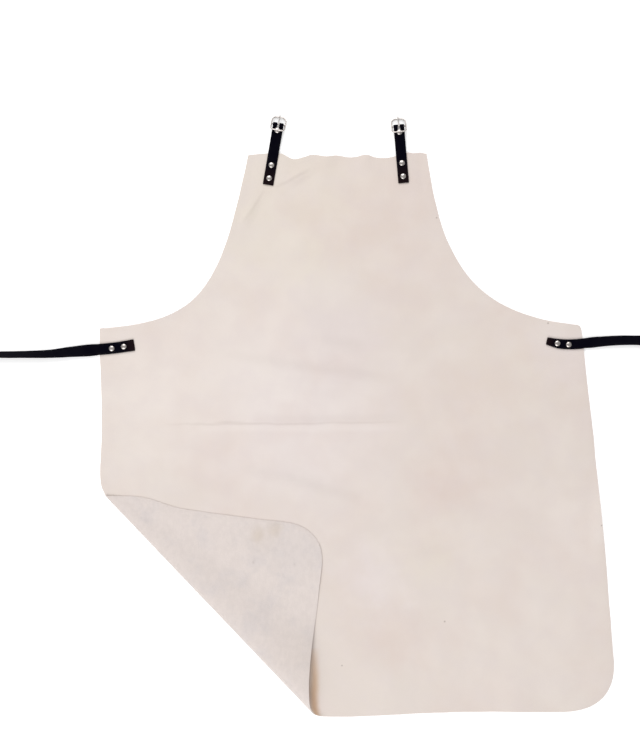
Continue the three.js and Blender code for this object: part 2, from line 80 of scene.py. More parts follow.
HIDE_THICK = 1.6
BIB_TOP = 840.0
WAIST_LEFT, WAIST_RIGHT = places((-360.5, 578.5), (362, 584.5))
WAIST_ROUND = 9.0
RIGHT_ARMHOLE = places((180.7, 600.2), (149.3, 704.8))
LEFT_ARMHOLE = places((-179.9, 623.1), (-217.3, 588))
SIDE_TOP, SIDE_BOW, SIDE_FOOT = places((362, 573), (400, 249), (410.5, 78))
LEFT_CORNER, RIGHT_CORNER = places((-325.5, -10.5), (412, 3.5))
LEFT_SIDE = places((-359.2, 516), (-356.9, 441), (-357.4, 411), (-358.3, 345))
CREASE_CUT = 9.0  # the left side crosses the crease this far along it
FLAP_SIDE = places((-353, 270), (-341, 218), (-335.5, 170), (-331, 100), (-328.5, 58))
HEM = places(
    (-262, -7), (-200, -3), (-145, 1.2), (-90, 2.5), (-40, -2.5), (0, -4), (90, 0), (184, 3), (330, 3.5)
)

TOP_EDGE = (
    TopEdge(-138, 1.5),
    TopEdge(-114, 0),
    TopEdge(-89, 0),
    TopEdge(-70, 8),
    TopEdge(-53, 4.5),
    TopEdge(-42, 1.2),
    TopEdge(-20, 4.2),
    TopEdge(-6, 2.7),
    TopEdge(12, 5.4),
    TopEdge(24, 4.8),
    TopEdge(39, 2),
    TopEdge(56, 6),
    TopEdge(76, 5.4),
    TopEdge(100, -2.2),
    TopEdge(111, -1.2),
    TopEdge(120, -2),
    TopEdge(130, 0),
)

# The turned-over corner: outer line of the roll, its radius at each end, and how the flap settles
FOLD_START = Vector((-358.5, 335.5))
FOLD_END = Vector((-33.0, -4.0))
ROLL_START, ROLL_END = 1.2, 13.0
FLAP_GAP = 0.4
FLAP_SETTLE = 9.0
FLAP_SIDE_LIMIT = -300.0  # the flap's free side lies left of this on the pattern
FLAP_SIDE_DROOP = 0.8
RIM_REACH = 4.0
FLAP_LIFT, FLAP_LIFT_AT, FLAP_LIFT_REACH = 1.3, -250.0, 45.0  # of its rim past the corner

FOLD_LENGTH = (FOLD_END - FOLD_START).length
ALONG = (FOLD_END - FOLD_START).normalized()
ACROSS = Vector((ALONG.y, -ALONG.x))

# Straps and hardware
STRAP_THICK, STRAP_WIDTH = 1.8, 16.0
CAP_RADIUS, CAP_HEIGHT = 4.3, 1.7
BACK_RADIUS, BACK_HEIGHT = 4.0, 1.2
POST_RADIUS = 1.4
WIRE = 1.1
BUCKLE_HALF, UPPER_ARM, LOWER_ARM = 10.6, 12.2, 8.2
UPPER_CORNER, LOWER_CORNER = 7.4, 4.2
PRONG_WIRE, PRONG_TIP, PRONG_PAST = 0.95, 0.65, 3.2
SLOT_WIDTH, SLOT_BELOW = 3.0, 4.6

RIVET_LIFT = BACK_HEIGHT + CLEAR
DECK = RIVET_LIFT + HIDE_THICK + CLEAR

SWELLS = (
    # level pads under the riveted strap ends
    Swell(-104.7, 814, 80, 52, 30, RIVET_LIFT, 0.55),
    Swell(93.8, 816, 95, 52, 30, RIVET_LIFT, 0.55),
    Swell(-338, 549.5, 172, 74, 36, RIVET_LIFT, 0.66),
    Swell(338, 555.5, 178, 74, 30, RIVET_LIFT, 0.6),
    # pulls that spread from the left neck tab
    Swell(-62, 805, 28, 34, 10, 3, 0),
    Swell(-136, 752, 63, 38, 11, 3, 0),
    # the ridge that storing it folded has left, and the slack on each side of it
    Swell(-82, 436.5, 0.6, 185, 40, 3.2, 0),
    Swell(-80, 500, -7, 150, 30, 1.8, 0.1),
    Swell(-20, 392, -5, 120, 28, 1.8, 0.1),
    # slack above the turned-over corner and in the skirt
    Swell(-62, 345, -14, 80, 24, 3.5, 0),
    Swell(8, 512, -8, 60, 20, 2.5, 0),
    Swell(105, 243, 5, 60, 22, 2.5, 0),
    # lifted edges
    Swell(352, 588, -3, 46, 15, 3.5, 0.1),
    Swell(-22, 838, 88, 40, 20, 3, 0),
    Swell(36, 838, 94, 34, 18, 3, 0),
    Swell(398, 330, 86, 130, 22, 3, 0),
    Swell(70, 0, 84, 90, 46, 3.5, 0),
    Swell(268, 0, 97, 80, 44, 3, 0),
)
PADS = 4  # the first rows, which stay level

CREASES = (
    Crease(-82, 436.5, 0.6, 175, 9, 1.1),
    Crease(-62, 807, 29, 40, 6, 0.9),
    Crease(-134, 757, 62, 40, 6, 0.9),
    Crease(-60, 350, -14, 85, 9, 0.9),
    Crease(-10, 520, -7, 105, 8, 0.7),
    Crease(30, 486, -4, 50, 10, 0.8),
    Crease(105, 243, 4, 50, 10, 0.7),
    Crease(275, 492, 62, 34, 8, 0.6),
)

Tab = namedtuple("Tab", "side lean reach")
TABS = (Tab("left", -9.8, 90.9), Tab("right", 5.0, 84.5))
TAB_RIVET_INSET, TAB_RIVET_PITCH, BUCKLE_RIVET = 10.0, 20.0, 8.3
CLENCH, TURNED_UNDER = 4.3, 22.0

Station = namedtuple("Station", "x y width base twist")
WAIST_STRAPS = {
    "left": (
        Station(-308, 553.5, 1.08, DECK, 0),
        Station(-335, 549.3, 1.04, DECK, 0),
        Station(-363, 546.5, 1.05, DECK, 0),
        Station(-405, 543, 1.03, 1.5, 22),
        Station(-434, 540.3, 1, 0.7, 42),
        Station(-472, 539.3, 1, 0.4, 52),
        Station(-510, 539, 1, 0.4, 56),
        Station(-545, 540, 0.9, 0.4, 58),
    ),
    "right": (
        Station(309.5, 559.6, 0.68, DECK, 0),
        Station(329, 555.2, 0.9, DECK, 0),
        Station(352, 554.6, 0.94, DECK, 0),
        Station(369, 556.4, 0.95, DECK, 0),
        Station(396, 559, 0.96, 1.4, -14),
        Station(420, 560.4, 0.98, 0.4, -24),
        Station(450, 560.3, 1, 0.2, -26),
        Station(500, 558, 1.03, 0.2, -26),
        Station(545, 556, 0.96, 0.2, -26),
    ),
}

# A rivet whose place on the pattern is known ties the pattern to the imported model
TIE_RIVET = "rivet_waist_left_inner"
TIE_PLACE = Vector((-323.9, 551.0, 0.0))


def box_middle(node):
    low, high = (Vector(corner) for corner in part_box(node))
    return (low + high) / 2


def pattern_origin():
    middle = box_middle(TIE_RIVET)
    return Vector((middle.x, middle.y, 0)) - TIE_PLACE * MM


ORIGIN = pattern_origin()


def in_row(x, y, z=0.0):
    """A place on the pattern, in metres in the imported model's frame."""
    return ORIGIN + Vector((x, y, z)) * MM


# Shapes shared by the pieces


def ease(share):
    t = min(max(share, 0.0), 1.0)
    return t * t * (3 - 2 * t)


def curve_through(points, t):
    """The point at t, from 0 to 1, of a centripetal Catmull-Rom curve."""
    last = len(points) - 1
    place = last * t
    i = min(int(place), last - 1)
    w = place - i
    p1, p2 = points[i], points[i + 1]
    p0 = points[i - 1] if i > 0 else 2 * p1 - p2
    p3 = points[i + 2] if i + 2 <= last else 2 * p2 - p1
    d0, d1, d2 = (max((b - a).length ** 0.5, 1e-4) for a, b in ((p0, p1), (p1, p2), (p2, p3)))
    m1 = d1 * ((p1 - p0) / d0 - (p2 - p0) / (d0 + d1) + (p2 - p1) / d1)
    m2 = d1 * ((p2 - p1) / d1 - (p3 - p1) / (d1 + d2) + (p3 - p2) / d2)
    return p1 + m1 * w + (3 * (p2 - p1) - 2 * m1 - m2) * w**2 + (2 * (p1 - p2) + m1 + m2) * w**3


def slit(bm, point, normal):
    """Cuts the flat sheet along a straight line, through any points that lie close to it."""
    snap = 0.45
    everything = bm.verts[:] + bm.edges[:] + bm.faces[:]
    bmesh.ops.bisect_plane(bm, geom=everything, dist=snap, plane_co=point, plane_no=normal)


def mark_inland(bm):
    """Notes how far from the cut edge each point of a flat sheet is, in millimetres, if it is near."""
    inland = bm.verts.layers.float.new("inland")
    for vert in bm.verts:
        edges = [e.calc_length() for e in vert.link_edges if e.other_vert(vert).is_boundary]
        vert[inland] = 0.0 if vert.is_boundary else min(edges, default=math.inf)
    return inland


def add_piece(name, bm, body, node, materials):
    """Puts a finished mesh in the scene, riding on a body in place of a solid."""
    mesh = bpy.data.meshes.new(name)
    bm.to_mesh(mesh)
    bm.free()
    for polygon in mesh.polygons:
        polygon.use_smooth = True
    for material in materials:
        mesh.materials.append(material)
    piece = bpy.data.objects.new(name, mesh)
    bpy.context.scene.collection.objects.link(piece)
    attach(piece, body)
    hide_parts(node)
    return piece


def add_wall(piece, thick, bevel, rim_share, back_offset=0, rim_offset=0):
    """Gives a marked sheet its thickness, half to each side, less at its edge, and softens that edge."""
    taper = 2.5
    body = piece.vertex_groups.new(name="body_of_sheet")
    for i, point in enumerate(piece.data.attributes["inland"].data):
        body.add([i], ease(point.value / taper), "REPLACE")
    wall = piece.modifiers.new("leather_thickness", "SOLIDIFY")
    wall.thickness = thick * MM
    wall.vertex_group = body.name
    wall.thickness_vertex_group = rim_share
    wall.offset = 0
    wall.use_even_offset = True
    wall.material_offset = back_offset
    wall.material_offset_rim = rim_offset
    edge = piece.modifiers.new("softened_cut_edge", "BEVEL")
    edge.width = bevel * MM
    edge.segments = 2
    edge.limit_method = "ANGLE"
    edge.angle_limit = math.radians(60)
    edge.harden_normals = True


# The hide


def bowed(start, corner, end, steps):
    """A curve from start to end that bends towards a corner, without its last point."""
    share = 2 / 3
    first, second = (p.lerp(corner, share) for p in (start, end))
    points = interpolate_bezier(*(p.to_3d() for p in (start, first, second, end)), steps)
    return [p.to_2d() for p in points[:-1]]


def armhole(start, bends, end, steps=90):
    points = interpolate_bezier(*(p.to_3d() for p in (start, *bends, end)), steps)
    return [p.to_2d() for p in points[:-1]]


def smooth(points, steps):
    return [curve_through(points, i / steps) for i in range(steps)]


def hide_outline():
    """The outline of the cut hide, anticlockwise from the left end of the hem."""
    corner_steps = 24
    waist_in = WAIST_RIGHT - Vector((WAIST_ROUND, 0))
    crossing = from_fold(CREASE_CUT, 0)
    top = [Vector((row.x, BIB_TOP - row.dip)) for row in reversed(TOP_EDGE)]

    outline = smooth(HEM, 120)
    outline += bowed(HEM[-1], RIGHT_CORNER, SIDE_FOOT, corner_steps)
    outline += bowed(SIDE_FOOT, SIDE_BOW, SIDE_TOP, 90)
    outline += bowed(SIDE_TOP, WAIST_RIGHT, waist_in, 8)
    outline += armhole(waist_in, RIGHT_ARMHOLE, top[0])
    outline += smooth(top, 96)
    outline += armhole(top[-1], LEFT_ARMHOLE, WAIST_LEFT)
    outline += smooth([WAIST_LEFT, *LEFT_SIDE, crossing], 60)
    outline += smooth([crossing, *FLAP_SIDE], 60)
    outline += bowed(FLAP_SIDE[-1], LEFT_CORNER, HEM[0], corner_steps)
    return outline


Wander = namedtuple("Wander", "wave reach")
WANDERS = (Wander(70, 0.9), Wander(20, 0.3))
NOISE_LAYERS = (0.4, 40.4)  # far apart in the noise, so that x and y stray on their own


def knife_wander(point):
    """How far the hand-cut edge strays from the pattern's line."""
    return Vector(
        [
            sum(row.reach * noise.noise(Vector((*point / row.wave, layer))) for row in WANDERS)
            for layer in NOISE_LAYERS
        ]
    )


def roll_radius(u):
    return ROLL_START + (ROLL_END - ROLL_START) * max(u, -13.0) / FOLD_LENGTH


def to_fold(x, y):
    out = Vector((x, y)) - FOLD_START
    return out.dot(ALONG), out.dot(ACROSS)


def from_fold(u, w):
    return FOLD_START + ALONG * u + ACROSS * w


def ridge_frame(row, x, y):
    """Shares of a ridge's reach and half width at which a point lies."""
    turn = math.radians(row.turn)
    dx, dy = x - row.x, y - row.y
    along = abs(dx * math.cos(turn) + dy * math.sin(turn)) / row.reach
    across = abs(dy * math.cos(turn) - dx * math.sin(turn)) / row.half
    return along, across


def swell_level(row, x, y):
    along, across = ridge_frame(row, x, y)
    if along >= 1 or across >= 1:
        return 0.0
    return math.prod(1 - ease((q - row.flat) / (1 - row.flat)) for q in (along, across))


def hide_height(x, y):
    """How far the slack hide stands off the floor."""
    height = sum(row.height * swell_level(row, x, y) for row in SWELLS)
    calm = 1 - max(swell_level(row, x, y) for row in SWELLS[:PADS])
    for row in CREASES:
        along, across = ridge_frame(row, x, y)
        if along < 1 and across < 1:
            height += calm * row.height * (1 - along**2) * (1 - across) ** 2
    place = Vector((x, y, 0))
    long_wave, short_wave, rise, middle = 70, 31, 0.35, 1.2
    slow = noise.noise(place / long_wave) + 0.5 * noise.noise(place / short_wave)
    return height + calm * rise * (middle + slow)


def laid_hide(x, y):
    """Where a point of the flat pattern lies once the corner is turned over, in millimetres."""
    u, w = to_fold(x, y)
    radius = roll_radius(u)
    rolled = w + radius
    middle = HIDE_THICK / 2
    if rolled <= 0:
        return Vector((x, y, middle + hide_height(x, y)))
    angle = rolled / radius
    if angle <= math.pi:
        place = from_fold(u, radius * (math.sin(angle) - 1))
        rise = radius * (1 - math.cos(angle))
    else:
        out = rolled - math.pi * radius
        place = from_fold(u, -radius - out)
        fall = (2 * radius - HIDE_THICK - FLAP_GAP) * ease(out / (FLAP_SETTLE * radius))
        rise = 2 * radius - fall
    return Vector((place.x, place.y, middle + rise + hide_height(place.x, place.y)))


def cut_hide(cell, roll_facets):
    """The flat hide, cut along and across the line that its corner turns on."""
    bm = bmesh.new()
    bm.faces.new([bm.verts.new((p + knife_wander(p)).to_3d()) for p in hide_outline()])
    first, last = -220.0, 790.0
    for i in range(int((last - first) / cell)):
        slit(bm, from_fold(first + i * cell, 0).to_3d(), ALONG.to_3d())
    depth, flap = 720.0, 220.0
    lines = [(-1.0, -i * cell) for i in range(1, int(depth / cell))]
    lines += [(math.pi * i / roll_facets - 1, 0.0) for i in range(roll_facets + 1)]
    lines += [(math.pi - 1, i * cell) for i in range(1, int(flap / cell))]
    for radii, offset in lines:
        start, end = (from_fold(u, radii * roll_radius(u) + offset) for u in (0.0, FOLD_LENGTH))
        run = end - start
        slit(bm, start.to_3d(), Vector((run.y, -run.x, 0)))
    return bm


def flat_area(outline):
    pairs = zip(outline, outline[1:] + outline[:1])
    return abs(sum(p.cross(q) for p, q in pairs)) / 2


UV_ORIGIN = Vector((-0.5, -0.05))  # metres on the pattern at the corner of its UV map


def rim_bend(x):
    """How far the flap's rim bends off its own line: down along its side, up past its corner."""
    if x < FLAP_SIDE_LIMIT:
        return -FLAP_SIDE_DROOP
    return FLAP_LIFT * (1 - ease(abs(x - FLAP_LIFT_AT) / FLAP_LIFT_REACH))


def make_hide(settings):
    bm = cut_hide(settings.cell / MM, settings.roll_facets)
    uv = bm.loops.layers.uv.new("flat_pattern")
    for face in bm.faces:
        for loop in face.loops:
            loop[uv].uv = loop.vert.co.to_2d() * MM - UV_ORIGIN
    inland = mark_inland(bm)
    for vert in bm.verts:
        x, y, _ = vert.co
        u, w = to_fold(x, y)
        place = laid_hide(x, y)
        if w > (math.pi - 1) * roll_radius(u):
            place.z += rim_bend(x) * (1 - ease(vert[inland] / RIM_REACH))
        vert.co = ORIGIN + place * MM
    materials = [hide_material(settings), flesh_material(settings), cut_edge_material(settings)]
    piece = add_piece("hide_panel", bm, "apron", "apron_panel", materials)
    add_wall(piece, HIDE_THICK, 0.3, rim_share=0.55, back_offset=1, rim_offset=2)
    outline = hide_outline()
    flat_area(outline) * MM * MM
    return piece


# Straps


def flat_strip(width, length, across_cuts, along_cuts, corner):
    """A flat strip with y along it from 0, cut into cells and with its corners taken off."""
    bm = bmesh.new()
    bmesh.ops.create_grid(bm, x_segments=1, y_segments=1, size=0.5)
    bmesh.ops.scale(bm, vec=(width, length, 1), verts=bm.verts)
    bmesh.ops.translate(bm, vec=(0, length / 2, 0), verts=bm.verts)
    bmesh.ops.bevel(
        bm,
        geom=bm.verts[:],
        offset=corner,
        offset_type="OFFSET",
        segments=3,
        profile=0.5,
        affect="VERTICES",
        material=-1,
    )
    for x in across_cuts:
        slit(bm, Vector((x, 0, 0)), Vector((1, 0, 0)))
    for y in along_cuts:
        slit(bm, Vector((0, y, 0)), Vector((0, 1, 0)))
    return bm


def mark_wear(bm, width, faded):
    """Notes how near each point is to the strap's long edges and to its faded end."""
    rim = bm.verts.layers.float.new("rim")
    end = bm.verts.layers.float.new("faded_end")
    for vert in bm.verts:
        vert[rim] = ease((abs(vert.co.x) / (width / 2) - 0.72) / 0.28)
        vert[end] = 1 - ease(vert.co.y / faded)


def steps_to(length, step):
    count = int(length / step)
    return [length * i / count for i in range(1, count)]


LOOP_RADIUS = WIRE + CLEAR + STRAP_THICK / 2
BACK_LAYER = -LOOP_RADIUS
FRONT_LAYER = BACK_LAYER + STRAP_THICK + CLEAR
CAP_TOP = FRONT_LAYER + STRAP_THICK / 2 + CLEAR + CAP_HEIGHT
TILT = math.atan2(CAP_TOP + CLEAR + WIRE, LOWER_ARM)
BAR_HEIGHT = UPPER_ARM * math.tan(TILT) + WIRE + CLEAR


def tab_line(reach):
    """The middle line of a neck tab, seen from its side: up the bib, round the bar and back under."""
    on_bib = DECK + STRAP_THICK / 2 - BAR_HEIGHT
    clench_end = BUCKLE_RIVET - CLENCH
    line = [
        (-reach, on_bib),
        (-reach + TAB_RIVET_INSET, on_bib),
        (-reach + TAB_RIVET_INSET + TAB_RIVET_PITCH, on_bib),
        (-(reach + BUCKLE_RIVET) / 2, on_bib),
        (-BUCKLE_RIVET - CLENCH, FRONT_LAYER),
        (-BUCKLE_RIVET, FRONT_LAYER),
        (-clench_end, FRONT_LAYER),
    ]
    touch = math.acos(LOOP_RADIUS / math.hypot(clench_end, FRONT_LAYER))
    start = math.pi + math.atan2(-FRONT_LAYER, clench_end) - touch
    turns = 8
    for i in range(turns + 1):
        angle = start + (-math.pi / 2 - start) * i / turns
        line.append((LOOP_RADIUS * math.cos(angle), LOOP_RADIUS * math.sin(angle)))
    line += [(-clench_end, BACK_LAYER), (-BUCKLE_RIVET, BACK_LAYER), (-TURNED_UNDER, BACK_LAYER)]
    return [Vector(p) for p in line]


class StripPath:
    """A curve that can be walked by its own length."""

    def __init__(self, points, samples=600):
        self.points = [curve_through(points, i / samples) for i in range(samples + 1)]
        self.marks = [0.0]
        for a, b in zip(self.points, self.points[1:]):
            self.marks.append(self.marks[-1] + (b - a).length)
        self.length = self.marks[-1]

    def at(self, distance):
        """Where the curve is after a distance, and its heading there."""
        high = next((i for i, m in enumerate(self.marks) if m >= distance), len(self.marks) - 1)
        high = max(high, 1)
        low = high - 1
        span = self.marks[high] - self.marks[low]
        share = (distance - self.marks[low]) / span
        before, after = self.points[max(low - 1, 0)], self.points[min(high + 1, len(self.points) - 1)]
        return self.points[low].lerp(self.points[high], share), (after - before).normalized()

    def nearest(self, place):
        return min(zip(self.points, self.marks), key=lambda pair: (pair[0] - place).length)[1]


def tab_frame(side):
    """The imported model's frame of a tab: origin in the buckle's bar, +Y up the strap, +X along the bar."""
    joint = next(j for j in frame["record"]["behaviour"]["joints"] if j["name"] == f"buckle_{side}_swing")
    across = Vector(joint["axis"]).normalized()
    up = Vector((0, 0, 1))
    along = up.cross(across)
    turn = Matrix((across, along, up)).transposed().to_4x4()
    return Matrix.Translation(Vector(joint["pos_m"])) @ turn


def make_neck_tab(tab, material):
    path = StripPath(tab_line(tab.reach))
    loop_top = path.nearest(Vector((0, LOOP_RADIUS)))
    loop_foot = path.nearest(Vector((0, -LOOP_RADIUS)))
    slot = (loop_top - SLOT_BELOW, loop_foot + SLOT_BELOW)
    fine = [loop_top - 4 + 0.6 * i for i in range(int((loop_foot - loop_top + 8) / 0.6))]
    along = [*slot, *fine, *steps_to(path.length, 2.2)]
    half = STRAP_WIDTH / 2
    across = [s * x for x in (0.86 * half, 0.6 * half, SLOT_WIDTH / 2) for s in (-1, 1)]
    bm = flat_strip(STRAP_WIDTH, path.length, across, along, corner=1.0)
    mark_wear(bm, STRAP_WIDTH, faded=40.0)
    middles = [(face, face.calc_center_median()) for face in bm.faces]
    cut = [f for f, c in middles if abs(c.x) < SLOT_WIDTH / 2 and slot[0] < c.y < slot[1]]
    bmesh.ops.delete(bm, geom=cut, context="FACES")
    mark_inland(bm)
    place = tab_frame(tab.side)
    for vert in bm.verts:
        point, _ = path.at(vert.co.y)
        vert.co = place @ (Vector((vert.co.x, point.x, point.y)) * MM)
    name = f"neck_tab_{tab.side}"
    piece = add_piece(f"{name}_strap", bm, "apron", name, [material])
    add_wall(piece, STRAP_THICK, 0.4, rim_share=0.9)
    return piece


def make_waist_strap(side, material):
    stations = WAIST_STRAPS[side]
    centre = []
    for row in stations:
        turn = math.radians(abs(row.twist))
        rise = (STRAP_WIDTH * row.width * math.sin(turn) + STRAP_THICK * math.cos(turn)) / 2
        centre.append(Vector((row.x, row.y, row.base + rise)))
    shape = [Vector((row.width, row.twist, 0)) for row in stations]
    reach = sum((b - a).length for a, b in zip(centre, centre[1:]))
    half = STRAP_WIDTH / 2
    across = [s * x for x in (0.88 * half, 0.5 * half) for s in (-1, 1)] + [0.0]
    bm = flat_strip(STRAP_WIDTH, reach, across, steps_to(reach, 2.5), corner=1.4)
    mark_wear(bm, STRAP_WIDTH, faded=24.0)
    mark_inland(bm)
    up = Vector((0, 0, 1))
    nudge = 0.004
    for vert in bm.verts:
        t = vert.co.y / reach
        ahead, behind = (curve_through(centre, min(max(t + d, 0), 1)) for d in (nudge, -nudge))
        heading = (ahead - behind).normalized()
        width, twist, _ = curve_through(shape, t)
        sideways = up.cross(heading).normalized()
        sideways = Matrix.Rotation(math.radians(twist), 3, heading) @ sideways
        vert.co = ORIGIN + (curve_through(centre, t) - sideways * vert.co.x * width) * MM
    bmesh.ops.recalc_face_normals(bm, faces=bm.faces)
    name = f"waist_strap_{side}"
    piece = add_piece(f"{name}_leather", bm, "apron", name, [material])
    add_wall(piece, STRAP_THICK, 0.4, rim_share=0.9)
    return piece


# Rivets and buckles


def spun(profile, steps):
    """A closed shape turned about the upright axis from its profile of (radius, height)."""
    bm = bmesh.new()
    verts = [bm.verts.new((r, 0, z)) for r, z in profile]
    edges = [bm.edges.new(pair) for pair in zip(verts, verts[1:])]
    bmesh.ops.spin(
        bm,
        geom=verts + edges,
        cent=(0, 0, 0),
        axis=(0, 0, 1),
        angle=2 * math.pi,
        steps=steps,
        use_merge=True,
    )
    bmesh.ops.remove_doubles(bm, verts=bm.verts, dist=1e-4)
    bmesh.ops.recalc_face_normals(bm, faces=bm.faces)
    return bm


def make_rivet(node, material):
    """A domed cap drawn down on the leather, its post, and a flat cap behind."""
    low, high = (Vector(corner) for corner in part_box(node))
    foot, top = low.z / MM, high.z / MM
    seat = top - CAP_HEIGHT - CLEAR
    brim = 0.55
    profile = [
        (0, foot),
        (BACK_RADIUS - 0.5, foot),
        (BACK_RADIUS - 0.12, foot + 0.15),
        (BACK_RADIUS, foot + 0.5),
        (BACK_RADIUS, foot + BACK_HEIGHT),
        (POST_RADIUS, foot + BACK_HEIGHT),
        (POST_RADIUS, seat),
        (CAP_RADIUS - 0.25, seat),
        (CAP_RADIUS, seat + 0.22),
        (CAP_RADIUS - 0.06, seat + brim),
    ]
    dome_steps = 9
    dome = CAP_RADIUS - 0.06
    for i in range(1, dome_steps + 1):
        angle = math.pi / 2 * i / dome_steps
        profile.append((dome * math.cos(angle), seat + brim + (top - seat - brim) * math.sin(angle)))
    profile[-1] = (0, top)
    bm = spun(profile, steps=36)
    middle = box_middle(node)
    place = Matrix.Translation((middle.x, middle.y, 0)) @ Matrix.Scale(MM, 4)
    bmesh.ops.transform(bm, matrix=place, verts=bm.verts)
    return add_piece(f"{node}_nickel", bm, "apron", node, [material])


class WireBender:
    """Draws a round wire through straight runs and bends that all lie in its own YZ plane."""

    def __init__(self, radius, start, heading, sides=16):
        self.bm = bmesh.new()
        self.at, self.heading = Vector(start), Vector(heading)
        turn = Vector((0, 0, 1)).rotation_difference(self.heading).to_matrix().to_4x4()
        place = Matrix.Translation(self.at) @ turn
        ring = bmesh.ops.create_circle(self.bm, segments=sides, radius=radius, matrix=place)
        self.ring = list(dict.fromkeys(e for v in ring["verts"] for e in v.link_edges))
        self.first = list(self.ring)

    def run(self, length, swell=1.0):
        drawn = bmesh.ops.extrude_edge_only(self.bm, edges=self.ring)["geom"]
        verts = [g for g in drawn if isinstance(g, bmesh.types.BMVert)]
        edges = [g for g in drawn if isinstance(g, bmesh.types.BMEdge)]
        self.ring = [e for e in edges if all(v in verts for v in e.verts)]
        move = self.heading * length
        bmesh.ops.translate(self.bm, vec=move, verts=verts)
        self.at += move
        bmesh.ops.scale(self.bm, vec=(swell,) * 3, space=Matrix.Translation(-self.at), verts=verts)

    def bend(self, radius, degrees, steps):
        axis = Vector((1, 0, 0))
        centre = self.at + axis.cross(self.heading) * radius * math.copysign(1, degrees)
        angle = math.radians(degrees)
        geom = self.ring + list(dict.fromkeys(v for e in self.ring for v in e.verts))
        spun_wire = bmesh.ops.spin(
            self.bm, geom=geom, cent=centre, axis=axis, angle=angle, steps=steps
        )["geom_last"]
        self.ring = [g for g in spun_wire if isinstance(g, bmesh.types.BMEdge)]
        turn = Matrix.Rotation(angle, 3, axis)
        self.at = centre + turn @ (self.at - centre)
        self.heading = turn @ self.heading

    def close(self):
        bmesh.ops.remove_doubles(self.bm, verts=self.bm.verts, dist=0.01)
        return self.finished()

    def cap(self):
        for ring in (self.first, self.ring):
            bmesh.ops.edgeloop_fill(self.bm, edges=ring)
        return self.finished()

    def finished(self):
        bmesh.ops.recalc_face_normals(self.bm, faces=self.bm.faces)
        return self.bm


def hardware_frame(side):
    """The buckle's own frame: its plane tilted from the upper bar on the floor to the lower on its rivet."""
    return tab_frame(side) @ Matrix.Rotation(-TILT, 4, "X") @ Matrix.Scale(MM, 4)


def make_buckle_frame(side, material):
    upper, lower = UPPER_ARM / math.cos(TILT), LOWER_ARM / math.cos(TILT)
    flank = upper + lower - UPPER_CORNER - LOWER_CORNER
    wire = WireBender(WIRE, (0, LOWER_CORNER - BUCKLE_HALF, lower), (0, 1, 0))
    for corners in ((LOWER_CORNER, UPPER_CORNER), (UPPER_CORNER, LOWER_CORNER)):
        wire.run(2 * (BUCKLE_HALF - corners[0]))
        wire.bend(corners[0], -90, steps=10)
        wire.run(flank)
        wire.bend(corners[1], -90, steps=10)
    bm = wire.close()
    to_plane = Matrix(((0, 1, 0, 0), (0, 0, -1, 0), (-1, 0, 0, 0), (0, 0, 0, 1)))
    bmesh.ops.transform(bm, matrix=to_plane, verts=bm.verts)
    bmesh.ops.create_cone(
        bm,
        cap_ends=True,
        segments=16,
        radius1=WIRE,
        radius2=WIRE,
        depth=2 * BUCKLE_HALF,
        matrix=Matrix.Rotation(math.pi / 2, 4, "Y"),
    )
    bmesh.ops.transform(bm, matrix=hardware_frame(side), verts=bm.verts)
    name = f"buckle_frame_{side}"
    return add_piece(f"{name}_nickel", bm, f"buckle_{side}", name, [material])


def make_buckle_prong(side, material):
    eye = WIRE + CLEAR + PRONG_WIRE
    length = UPPER_ARM / math.cos(TILT) + PRONG_PAST
    wire = WireBender(PRONG_TIP * 0.55, (0, length, eye), (0, -1, 0), sides=14)
    wire.run(0.12, swell=1.4)
    wire.run(0.3, swell=1 / (1.4 * 0.55))
    wire.run(length - 0.42, swell=PRONG_WIRE / PRONG_TIP)
    wire.bend(eye, 335, steps=28)
    bm = wire.cap()
    bmesh.ops.transform(bm, matrix=hardware_frame(side), verts=bm.verts)
    name = f"buckle_prong_{side}"
    return add_piece(f"{name}_nickel", bm, f"prong_{side}", name, [material])


# Finishes


